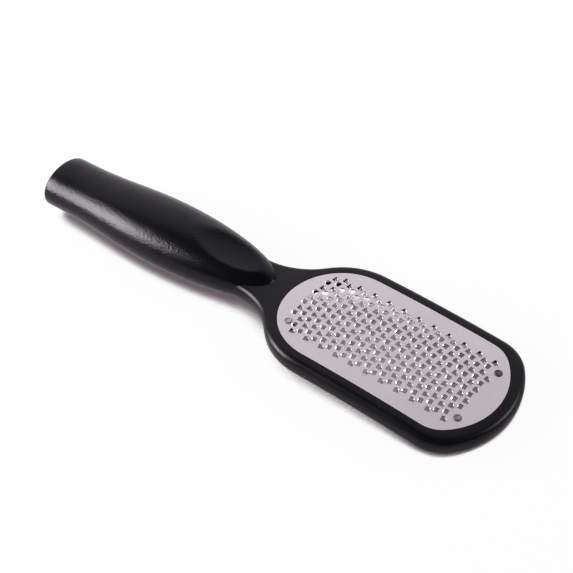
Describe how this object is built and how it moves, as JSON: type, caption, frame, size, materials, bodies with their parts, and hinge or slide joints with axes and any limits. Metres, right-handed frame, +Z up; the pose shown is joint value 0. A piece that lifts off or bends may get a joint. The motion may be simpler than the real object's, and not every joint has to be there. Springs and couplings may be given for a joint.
{
  "type": "foot rasp",
  "caption": "Hand-held foot rasp: a bowed steel plate of two-way hooded teeth, framed in a black moulded head, with a flat neck and an oval bellied grip with a thumb recess.",
  "frame": {"origin": "middle of the box's underside, on the surface that the tool lies on", "axes": "+X along the tool towards the tip of the head, +Y across it, +Z up out of the rasp face"},
  "size_m": [0.2544, 0.0674, 0.0268],
  "materials": {
    "frame_plastic": "moulded black plastic, satin",
    "grip_plastic": "moulded black plastic with a fine leather grain",
    "plate_steel": "punched stainless sheet, fine brushed"
  },
  "bodies": {
    "root": {"frame": "frame_plastic", "grip": "grip_plastic", "rasp_plate": "plate_steel"}
  },
  "joints": []
}
